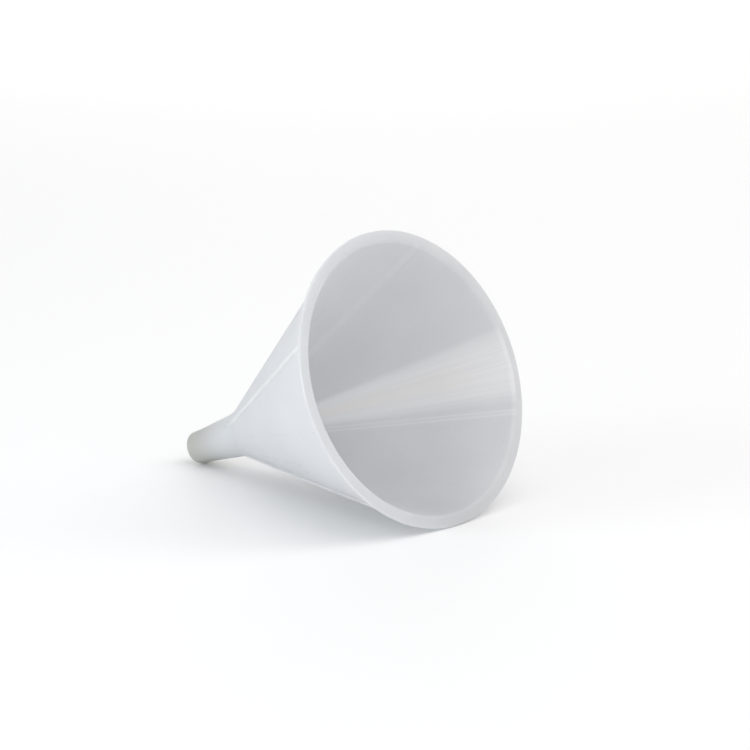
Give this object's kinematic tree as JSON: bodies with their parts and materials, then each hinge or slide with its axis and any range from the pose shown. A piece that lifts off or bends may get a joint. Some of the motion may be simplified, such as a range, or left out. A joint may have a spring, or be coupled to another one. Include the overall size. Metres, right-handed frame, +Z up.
{
  "type": "conical funnel",
  "caption": "Plain conical laboratory funnel with a flat lip, vent ribs down the cone and a short tapered stem, for pouring liquids or powders.",
  "frame": {"origin": "on the floor that the funnel lies on, at the centre of its bounding box's base", "axes": "+Z up from the floor; the funnel's axis lies in the XZ plane, and its mouth opens towards +X, 22.8 degrees above level; Y runs across the mouth"},
  "size_m": [0.1198, 0.1, 0.0923],
  "materials": {
    "polypropylene": "satin, natural milky polypropylene, slightly translucent"
  },
  "bodies": {
    "root": {"funnel_body": "polypropylene"}
  },
  "joints": []
}
